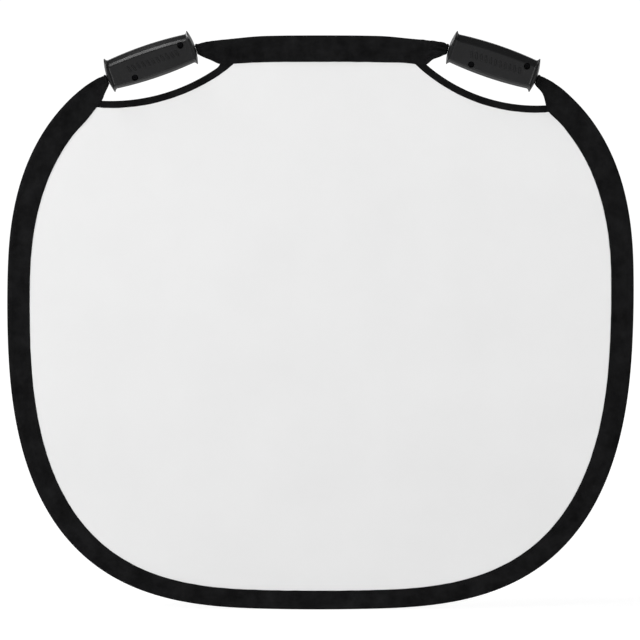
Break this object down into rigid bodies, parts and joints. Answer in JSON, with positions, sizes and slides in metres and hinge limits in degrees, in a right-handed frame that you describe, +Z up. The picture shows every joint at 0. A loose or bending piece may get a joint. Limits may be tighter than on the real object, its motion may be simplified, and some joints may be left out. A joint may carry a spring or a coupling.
{
  "type": "collapsible reflector disc",
  "caption": "Rounded-square photographic light reflector: white and silver cloth held taut in a sprung hoop, with moulded grips that turn on the hoop beside cut-out hand openings.",
  "frame": {"origin": "lowest point of the rim, in the middle, in the hoop's plane", "axes": "+Z up, from the bottom of the rim towards the side with the grips; the white face looks along -Y; X runs across the disc"},
  "size_m": [0.8003, 0.0398, 0.7386],
  "materials": {
    "white_cloth": "smooth white polyester, faint weave",
    "silver_cloth": "metallised silver cloth, finely crinkled",
    "sleeve_cloth": "black woven polyester, soft sheen",
    "binding_tape": "black folded tape, two stitch lines",
    "thread": "black whipped thread",
    "spring_steel": "blued spring strip",
    "ferrule_steel": "crimped, plated",
    "bush_plastic": "smooth black acetal",
    "grip_plastic": "satin black moulded plastic, fine grain",
    "screw_steel": "black oxide"
  },
  "bodies": {
    "root": {"hoop_band": "spring_steel", "hoop_splice_ferrule": "ferrule_steel", "left_inner_bush": "bush_plastic", "left_outer_bush": "bush_plastic", "right_inner_bush": "bush_plastic", "right_outer_bush": "bush_plastic", "white_panel": "white_cloth", "silver_panel": "silver_cloth", "lower_sleeve": "sleeve_cloth", "upper_sleeve": "sleeve_cloth", "left_cutout_binding": "binding_tape", "right_cutout_binding": "binding_tape", "left_inner_neck_tie": "thread", "left_outer_neck_tie": "thread", "right_inner_neck_tie": "thread", "right_outer_neck_tie": "thread"},
    "left_grip": {"left_grip_front_shell": "grip_plastic", "left_grip_rear_shell": "grip_plastic", "left_grip_low_screw": "screw_steel", "left_grip_high_screw": "screw_steel"},
    "right_grip": {"right_grip_front_shell": "grip_plastic", "right_grip_rear_shell": "grip_plastic", "right_grip_low_screw": "screw_steel", "right_grip_high_screw": "screw_steel"}
  },
  "joints": [
    {"name": "left_grip_swivel", "type": "hinge", "parent": "root", "child": "left_grip", "pos_m": [-0.21674, 0, 0.6996], "axis": [0.9475, 0, 0.3198], "continuous": true},
    {"name": "right_grip_swivel", "type": "hinge", "parent": "root", "child": "right_grip", "pos_m": [0.22046, 0, 0.6996], "axis": [0.9475, 0, -0.3198], "continuous": true}
  ]
}
